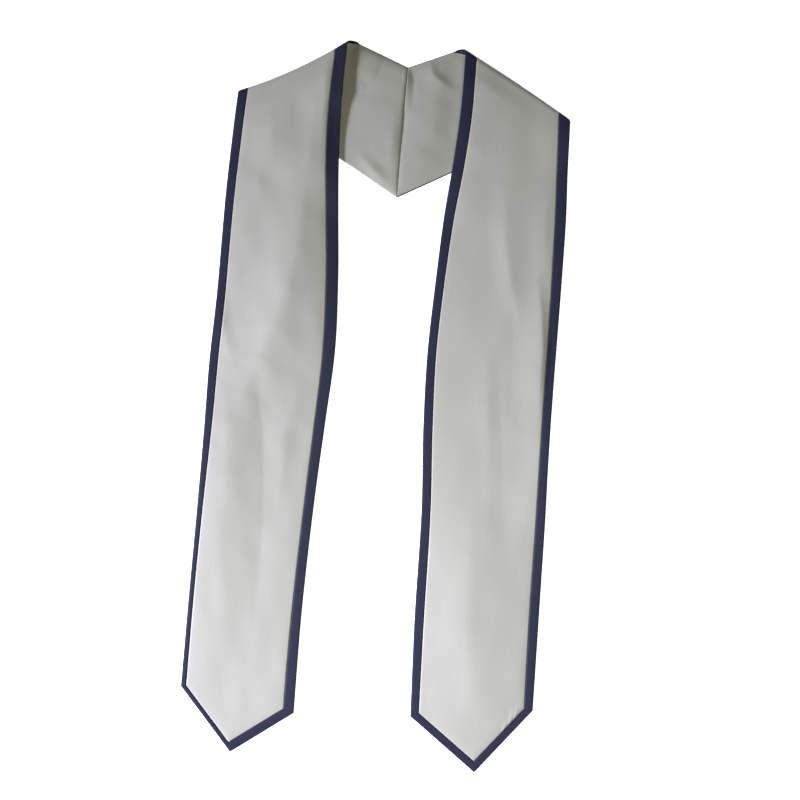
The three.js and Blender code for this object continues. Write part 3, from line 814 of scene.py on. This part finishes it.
def lining_piece(side, sizes, material):
    """The lining, which shows on the back: it billows beside the centre seam and dips into it."""
    neck_inset, outer_inset = side["lining_inset"]
    rows = band_rows()
    columns = band_columns()
    corners = point_inset(side, neck_inset, outer_inset, outer_inset, outer_inset)
    # At the shoulder's peak the lining is drawn in so that the dark navy trim shows there: painted shade for
    # the shadow inside the fold.
    shade_slipped = side["peak_shade_slip"] * smoothstep(rows, *SHADE_SLIP_STARTS) * (1 - smoothstep(rows, *SHADE_SLIP_ENDS))
    rows_in = rows.copy()
    rows_in[0] = SEAM_START
    grid = band_grid(side, rows_in, columns, neck_inset + shade_slipped, outer_inset + 0 * rows, corners, sizes)
    from_neck, from_outer, from_back, from_point = seam_distances(grid)
    t = np.repeat(rows[:, None], len(columns), 1)
    on_back = 1 - smoothstep(t, *BILLOW_ENDS)
    out = grid[..., 0]
    rise = 1 - np.exp(-out / side["seam_dip"])
    billow = sizes.back_billow * rise * (1 - BILLOW_LOSS * smoothstep(out, *BILLOW_FALLS))
    unrest = sizes.fine_unrest * soft_noise(grid[..., 0], grid[..., 1], LINING_WAVE, LINING_SEED)
    neck_settle, outer_settle = LINING_SETTLE
    settle = (1 - np.exp(-from_neck / neck_settle)) * (1 - np.exp(-from_outer / outer_settle))
    ripple = sizes.seam_pucker * seam_puckers(from_neck, from_back, BACK_SEED + side["turn"])
    seam_side = from_back if side["turn"] < 0 else from_back + sizes.seam_roll * RIGHT_SEAM_SHARPNESS
    proud = on_back * np.maximum((billow + back_folds(side, grid) + unrest) * settle + ripple * rise, 0)
    rim = np.minimum(np.minimum(from_neck, from_outer), np.minimum(from_point, seam_side))
    base = -LAYER_GAP / 2 - proud
    outside = base - CLOTH + rolled(rim, sizes.seam_roll, SEAM_DROP)
    return band_sheet(side, "lining", grid, outside, base, material)


def trim_profile(width, sizes):
    """Cross section of a trim: distances in from the edge, and heights of its outer and inner face."""
    seam = (width - sizes.seam_gap / 2)[:, None]
    flat = lerp(seam - TRIM_STEPS[-1], HALF_LAYER, TRIM_SHARES)
    top = np.concatenate([seam - TRIM_STEPS, flat], axis=1)
    across = (seam - top) / (seam - HALF_LAYER)
    puff = sizes.trim_puff * 4 * across * (1 - across)
    roll = rolled(seam - top, TRIM_ROLL, TRIM_DROP)
    turns = np.linspace(0, math.pi / 2, TRIM_TURNS)[1:]

    def with_edge(places, edge):
        return np.concatenate([places, np.ones((len(width), 1)) * edge], axis=1)

    edge_drop = HALF_LAYER * np.cos(turns) - OUTER_DEPTH * np.sin(turns)
    inner_drop = lerp(LAYER_GAP / 2, -INNER_DEPTH, 1 - np.cos(turns))
    return (
        with_edge(top, HALF_LAYER * (1 - np.sin(turns))),
        with_edge(HALF_LAYER + puff - roll, edge_drop),
        with_edge(top, lerp(HALF_LAYER, INNER_END, np.sin(turns))),
        with_edge(LAYER_GAP / 2 + puff * INNER_PUFF, inner_drop),
    )


def edge_trim_piece(side, which, sizes, material):
    """A trim along the neck edge or the outer edge, folded round it to the lining's side."""
    gap = sizes.seam_gap / 2
    rows = band_rows()
    along = np.clip(rows - 2, 0, 1)
    _, _, neck_trim, outer_trim = section_at(side, along)
    width = neck_trim if which == "neck" else outer_trim
    rows_in = rows.copy()
    rows_in[0] = gap / BACK_MEAN
    rows_in[-1] = 3 - MITRE_GAP / PANEL_LENGTH
    outer_distance, outer_height, inner_distance, inner_height = trim_profile(width, sizes)
    grids = []
    for distance, height in ((outer_distance, outer_height), (inner_distance, inner_height)):
        order = slice(None, None, -1) if which == "neck" else slice(None)
        grid = edge_grid(side, rows_in, distance, which, sizes)
        far = edge_grid(side, rows_in, distance * 0 + width[:, None], which, sizes)
        edge = edge_grid(side, rows_in, distance * 0, which, sizes)
        direction = np.stack([edge[:, 0], far[:, 0]] if which == "neck" else [far[:, 0], edge[:, 0]], axis=1)
        normals = grid_normals(direction)[:, :1]
        grids.append((grid + normals * height[..., None])[:, order])
    upper, lower = grids
    nodes = (f"trim_{which}_back_{side['name']}", f"trim_{which}_front_{side['name']}")
    return trim_sheet(side, f"trim_{which}_band", upper, lower, material, nodes)


def point_trim_piece(side, which, sizes, material):
    """A trim along one edge of the point, mitred at its corner and at the tip."""
    widths = trim_widths(side)
    edge = point_edge(side)
    border = point_inset(side, *widths)
    first = 0 if which == "inner" else 1
    width = widths[1 + first]
    length = float(np.linalg.norm(edge[first + 1] - edge[first]))
    shares = np.concatenate([
        np.array(SEAM_COLUMNS) / length,
        np.linspace(SEAM_COLUMNS[-1] / length, 1 - SEAM_COLUMNS[-1] / length, MITRE_COLUMNS)[1:-1],
        1 - np.array(SEAM_COLUMNS)[::-1] / length,
    ])
    pulled = lerp(MITRE_GAP / length, 1 - MITRE_GAP / length, shares)
    profile = trim_profile(np.full(len(shares), width), sizes)
    outer_distance, outer_height, inner_distance, inner_height = profile
    ends = np.minimum(shares, 1 - shares) * length
    grids = []
    for distance, height in ((outer_distance, outer_height), (inner_distance, inner_height)):
        start = lerp(edge[first], border[first], (distance / width)[..., None])
        end = lerp(edge[first + 1], border[first + 1], (distance / width)[..., None])
        grid = lerp(start, end, pulled[:, None, None])
        grid[..., 2] = HALF_LAYER + height
        grids.append(grid)
    upper, lower = grids
    mitre = rolled(ends, TRIM_ROLL, MITRE_DROP)[:, None]
    upper[..., 2] -= np.where(outer_height > 0, mitre, 0)
    nodes = (f"trim_point_{which}_{side['name']}",)
    return trim_sheet(side, f"trim_point_{which}_cloth", upper, lower, material, nodes)


# Materials


# How often the cloth's patterns repeat in a metre: slubs 1.6 mm across and 38 mm along, and clouds of 45 mm.
SLUBS = (620.0, 26.0, 1.0)
CLOUDS = 22.0

# The twill's real threads of about 0.2 mm are too fine to show, so it is drawn with a 1.4 mm step.
WEAVE = (715.0, 715.0, 1.0)
TWILL_TURN = math.radians(32)
WEAVE_HEIGHT = 0.05 * MM

# How far the cloth's roughness falls and rises with its slubs, and how much the clouds count in its dye.
ROUGHNESS_SPREAD = (0.04, 0.05)
CLOUD_SHARE = 0.5

# The grain of the floor's matt face, about 1 mm, and how light its darker spots are.
FLOOR_GRAIN = 900.0
FLOOR_SPOTS = 0.99


def linear(hex_colour):
    """An sRGB hex colour as linear red, green, blue and alpha."""
    channels = [int(hex_colour[i : i + 2], 16) / 255 for i in (1, 3, 5)]
    return (*[c / 12.92 if c <= 0.04045 else ((c + 0.055) / 1.055) ** 2.4 for c in channels], 1.0)


def add_node(tree, kind, settings=None, values=None, links=None):
    """A node with its settings, its sockets' values, and links from other nodes' sockets."""
    node = tree.nodes.new(kind)
    for key, value in (settings or {}).items():
        setattr(node, key, value)
    for key, value in (values or {}).items():
        node.inputs[key].default_value = value
    for key, source in (links or {}).items():
        tree.links.new(source, node.inputs[key])
    return node


def cloth_material(name, colour, shade, roughness, sheen, specular, anisotropic, streak, tint="#f4f5f2"):
    """Woven polyester: threads run along the band, so its streaks and gloss follow the piece's own map."""
    material = bpy.data.materials.new(name)
    material.use_nodes = True
    tree = material.node_tree
    tree.nodes.clear()
    uv = add_node(tree, "ShaderNodeUVMap", {"uv_map": UV_NAME})

    # Slubs: thicker threads that run along the cloth.
    slub_place = add_node(tree, "ShaderNodeMapping", values={"Scale": SLUBS},
                          links={"Vector": uv.outputs["UV"]})
    slubs = add_node(tree, "ShaderNodeTexNoise", {"noise_dimensions": "2D"},
                     {"Scale": 1.0, "Detail": 3.0, "Roughness": 0.55},
                     {"Vector": slub_place.outputs["Vector"]})

    # Cloudy variation of the dye and of how the nap lies, over several centimetres.
    cloud = add_node(tree, "ShaderNodeTexNoise", {"noise_dimensions": "2D"},
                     {"Scale": CLOUDS, "Detail": 2.0, "Roughness": 0.5}, {"Vector": uv.outputs["UV"]})

    streaks = add_node(tree, "ShaderNodeMath", {"operation": "MULTIPLY"}, {1: streak},
                       {0: slubs.outputs["Fac"]})
    amount = add_node(tree, "ShaderNodeMath", {"operation": "MULTIPLY_ADD", "use_clamp": True},
                      {1: CLOUD_SHARE}, {0: cloud.outputs["Fac"], 2: streaks.outputs["Value"]})
    dye = add_node(tree, "ShaderNodeMix", {"data_type": "RGBA"}, {6: linear(colour), 7: linear(shade)},
                   {0: amount.outputs["Value"]})

    # Weave: the twill runs slantwise over the cloth.
    weave_place = add_node(tree, "ShaderNodeMapping",
                           values={"Rotation": (0.0, 0.0, TWILL_TURN), "Scale": WEAVE},
                           links={"Vector": uv.outputs["UV"]})
    weave = add_node(tree, "ShaderNodeTexNoise", {"noise_dimensions": "2D"},
                     {"Scale": 1.0, "Detail": 2.0, "Roughness": 0.6, "Distortion": 0.3},
                     {"Vector": weave_place.outputs["Vector"]})
    relief = add_node(tree, "ShaderNodeMath", {"operation": "ADD"},
                      links={0: weave.outputs["Fac"], 1: slubs.outputs["Fac"]})
    bump = add_node(tree, "ShaderNodeBump", values={"Strength": 1.0, "Distance": WEAVE_HEIGHT},
                    links={"Height": relief.outputs["Value"]})

    less, more = ROUGHNESS_SPREAD
    rough = add_node(tree, "ShaderNodeMapRange", values={3: roughness - less, 4: roughness + more},
                     links={0: slubs.outputs["Fac"]})
    shader = add_node(
        tree, "ShaderNodeBsdfPrincipled",
        values={"Metallic": 0.0, "IOR": 1.5, "Specular IOR Level": specular, "Sheen Weight": sheen,
                "Sheen Roughness": 0.35, "Sheen Tint": linear(tint), "Anisotropic": anisotropic},
        links={"Base Color": dye.outputs[2], "Roughness": rough.outputs[0], "Normal": bump.outputs["Normal"]})
    if anisotropic:
        tangent = add_node(tree, "ShaderNodeTangent", {"direction_type": "UV_MAP", "uv_map": UV_NAME})
        tree.links.new(tangent.outputs["Tangent"], shader.inputs["Tangent"])
    out = add_node(tree, "ShaderNodeOutputMaterial", links={"Surface": shader.outputs["BSDF"]})
    out.is_active_output = True
    return material


def floor_material(colour, glow):
    """Matt white acrylic of a light table: a soft even tone with no gloss, and only faint shadows."""
    material = bpy.data.materials.new("floor_white_acrylic")
    material.use_nodes = True
    tree = material.node_tree
    shader = tree.nodes["Principled BSDF"]
    place = add_node(tree, "ShaderNodeTexCoord")
    grain = add_node(tree, "ShaderNodeTexNoise", values={"Scale": FLOOR_GRAIN, "Detail": 2.0},
                     links={"Vector": place.outputs["Object"]})
    tone = add_node(tree, "ShaderNodeMix", {"data_type": "RGBA"},
                    {6: linear(colour), 7: (*[c * FLOOR_SPOTS for c in linear(colour)[:3]], 1.0)},
                    {0: grain.outputs["Fac"]})
    tree.links.new(tone.outputs[2], shader.inputs["Base Color"])
    shader.inputs["Roughness"].default_value = 0.9
    shader.inputs["Specular IOR Level"].default_value = 0.1
    shader.inputs["Emission Color"].default_value = (1.0, 1.0, 1.0, 1.0)
    shader.inputs["Emission Strength"].default_value = glow
    return material


def length_property(name, description, default, most, least=0):
    """A length, given in millimetres."""
    return bpy.props.FloatProperty(
        name=name, description=description, unit="LENGTH",
        default=default * MM, min=least * MM, max=most * MM)


def hex_property(name, description, default):
    """A colour as an sRGB hex value."""
    return bpy.props.StringProperty(name=name, description=description, default=default)


class StoleSizes(bpy.types.PropertyGroup):
    """Sizes of the stole's cloth."""

    satin_puff: length_property("Satin puff", "How far the satin stands proud between its seams", 0.8, 5)
    puff_reach: length_property("Puff reach", "Distance from a seam over which the satin rises", 8, 60, 1)
    seam_gap: length_property("Seam gap", "Width of the groove between two sewn sheets", 0.24, 1, 0.1)
    seam_roll: length_property(
        "Seam roll", "Distance over which cloth is rounded down into a seam", 1.3, 5, 0.2)
    seam_pucker: length_property("Seam pucker", "Height of the small ripples beside a seam", 0.08, 1)
    fine_unrest: length_property(
        "Fine unrest", "Height of the faint bumps of cloth that isn't pulled tight", 0.17, 1)
    cloth_unrest: length_property("Panel unrest", "Height of the wide, low waves of a whole panel", 0.5, 3)
    fold_strength: bpy.props.FloatProperty(
        name="Fold strength", description="Scales the soft folds of the front panels",
        default=1.0, min=0, max=2)
    back_billow: length_property(
        "Back billow", "How far the lining of the back stands up beside the centre seam", 2.2, 5)
    trim_puff: length_property(
        "Trim puff", "How far a trim is rounded up between its seam and its edge", 0.15, 1)


class StoleColours(bpy.types.PropertyGroup):
    """Colours of the stole's cloth and of its floor, as sRGB hex values."""

    satin: hex_property("Satin", "Silver grey of the satin", "#979797")
    satin_shade: hex_property("Satin shade", "Darker threads of the satin", "#8e8e8e")
    lining: hex_property("Lining", "Silver grey of the lining", "#949492")
    lining_shade: hex_property("Lining shade", "Darker threads of the lining", "#898a88")
    trim: hex_property("Trim", "Navy of the trim", "#22243b")
    trim_shade: hex_property("Trim shade", "Darker threads of the trim", "#1d1f34")
    floor: hex_property("Floor", "White of the studio floor", "#f4f4f4")


class StudioLight(bpy.types.PropertyGroup):
    """Strength of the lights."""

    strength: bpy.props.FloatProperty(
        name="Strength", description="Scales all the lamps together", default=1.0, min=0, max=10)
    ambient: bpy.props.FloatProperty(
        name="Ambient", description="Strength of the even light from all round", default=0.09, min=0, max=5)
    ambient_colour: hex_property("Ambient colour", "Warm white of the even light", "#fffede")
    floor_glow: bpy.props.FloatProperty(
        name="Floor glow", description="Light that the backlit floor gives off", default=0.85, min=0, max=5)


def satin_material(colours):
    return cloth_material("satin_silver_polyester", colours.satin, colours.satin_shade,
                          roughness=0.5, sheen=0.12, specular=0.35, anisotropic=0.25, streak=0.5)


def lining_material(colours):
    return cloth_material("lining_silver_polyester", colours.lining, colours.lining_shade,
                          roughness=0.62, sheen=0.1, specular=0.28, anisotropic=0.0, streak=0.4,
                          tint="#f0f1ee")


def trim_material(colours):
    return cloth_material("satin_navy_polyester", colours.trim, colours.trim_shade,
                          roughness=0.55, sheen=0.0, specular=0.12, anisotropic=0.2, streak=0.6)


class STOLE_OT_linings(bpy.types.Operator):
    """Make the lining of both halves"""

    bl_idname = "stole.linings"
    bl_label = "Linings"

    def execute(self, context):
        material = lining_material(context.scene.stole_colours)
        for side in SIDES:
            lining_piece(side, context.scene.stole_sizes, material)
        return {"FINISHED"}


class STOLE_OT_satins(bpy.types.Operator):
    """Make the satin of both halves"""

    bl_idname = "stole.satins"
    bl_label = "Satins"

    def execute(self, context):
        material = satin_material(context.scene.stole_colours)
        for side in SIDES:
            satin_piece(side, context.scene.stole_sizes, material)
        return {"FINISHED"}


class STOLE_OT_edge_trims(bpy.types.Operator):
    """Make the trims along the neck edges and the outer edges"""

    bl_idname = "stole.edge_trims"
    bl_label = "Edge trims"

    def execute(self, context):
        material = trim_material(context.scene.stole_colours)
        for side in SIDES:
            for which in ("neck", "outer"):
                edge_trim_piece(side, which, context.scene.stole_sizes, material)
        return {"FINISHED"}


class STOLE_OT_point_trims(bpy.types.Operator):
    """Make the trims along the points"""

    bl_idname = "stole.point_trims"
    bl_label = "Point trims"

    def execute(self, context):
        material = bpy.data.materials["satin_navy_polyester"]
        for side in SIDES:
            for which in ("inner", "outer"):
                point_trim_piece(side, which, context.scene.stole_sizes, material)
        return {"FINISHED"}


class STOLE_OT_studio(bpy.types.Operator):
    """Make the floor, the lights and the camera"""

    bl_idname = "stole.studio"
    bl_label = "Studio"

    def execute(self, context):
        scene = context.scene
        light = scene.stole_light
        bpy.ops.object.select_all(action="DESELECT")
        bpy.ops.mesh.primitive_plane_add(size=FLOOR_SIZE, location=(0, 0, -FLOOR_GAP))
        floor = context.object
        floor.name = "studio_floor"
        bpy.ops.object.transform_apply(location=True, rotation=True, scale=True)
        floor.data.materials.append(floor_material(scene.stole_colours.floor, light.floor_glow))

        for lamp in STUDIO_LAMPS:
            place = Vector(lamp["place"])
            bpy.ops.object.light_add(type="AREA", location=place)
            source = context.object
            source.name = lamp["name"]
            source.data.shape = "DISK"
            source.data.size = lamp["size"]
            source.data.energy = lamp["power"] * light.strength
            source.data.spread = math.radians(lamp["spread"])
            source.data.color = linear(lamp["colour"])[:3]
            source.rotation_euler = (Vector(lamp["aim"]) - place).to_track_quat("-Z", "Y").to_euler()
            source.visible_camera = False

        world = bpy.data.worlds.new("studio_white")
        scene.world = world
        world.use_nodes = True
        background = world.node_tree.nodes["Background"]
        background.inputs["Color"].default_value = linear(light.ambient_colour)
        background.inputs["Strength"].default_value = light.ambient

        bpy.ops.object.camera_add(location=(*VIEW_MIDDLE, CAMERA_HEIGHT), rotation=(0, 0, VIEW_TURN))
        camera = context.object
        camera.name = "view_from_above"
        camera.data.sensor_width = SENSOR
        camera.data.lens = SENSOR * CAMERA_HEIGHT / VIEW_WIDTH
        camera.data.clip_end = CLIP_END
        scene.camera = camera
        scene.view_settings.view_transform = "Standard"
        return {"FINISHED"}


class STOLE_PT_panel(bpy.types.Panel):
    """The stole's sizes, colours and steps"""

    bl_label = "Graduation stole"
    bl_idname = "STOLE_PT_panel"
    bl_space_type = "VIEW_3D"
    bl_region_type = "UI"
    bl_category = "Stole"

    def draw(self, context):
        layout = self.layout
        for group in (context.scene.stole_sizes, context.scene.stole_colours, context.scene.stole_light):
            box = layout.box()
            for key in group.__annotations__:
                box.prop(group, key)
        for kind in CLASSES:
            if issubclass(kind, bpy.types.Operator):
                layout.operator(kind.bl_idname)


CLASSES = (
    StoleSizes,
    StoleColours,
    StudioLight,
    STOLE_OT_linings,
    STOLE_OT_satins,
    STOLE_OT_edge_trims,
    STOLE_OT_point_trims,
    STOLE_OT_studio,
    STOLE_PT_panel,
)


def register():
    for kind in CLASSES:
        bpy.utils.register_class(kind)
    bpy.types.Scene.stole_sizes = bpy.props.PointerProperty(type=StoleSizes)
    bpy.types.Scene.stole_colours = bpy.props.PointerProperty(type=StoleColours)
    bpy.types.Scene.stole_light = bpy.props.PointerProperty(type=StudioLight)


def unregister():
    del bpy.types.Scene.stole_light
    del bpy.types.Scene.stole_colours
    del bpy.types.Scene.stole_sizes
    for kind in reversed(CLASSES):
        bpy.utils.unregister_class(kind)


def main():
    register()
    bpy.ops.stole.studio()
    bpy.ops.stole.linings()
    bpy.ops.stole.satins()
    bpy.ops.stole.edge_trims()
    bpy.ops.stole.point_trims()


if __name__ == "__main__":
    main()
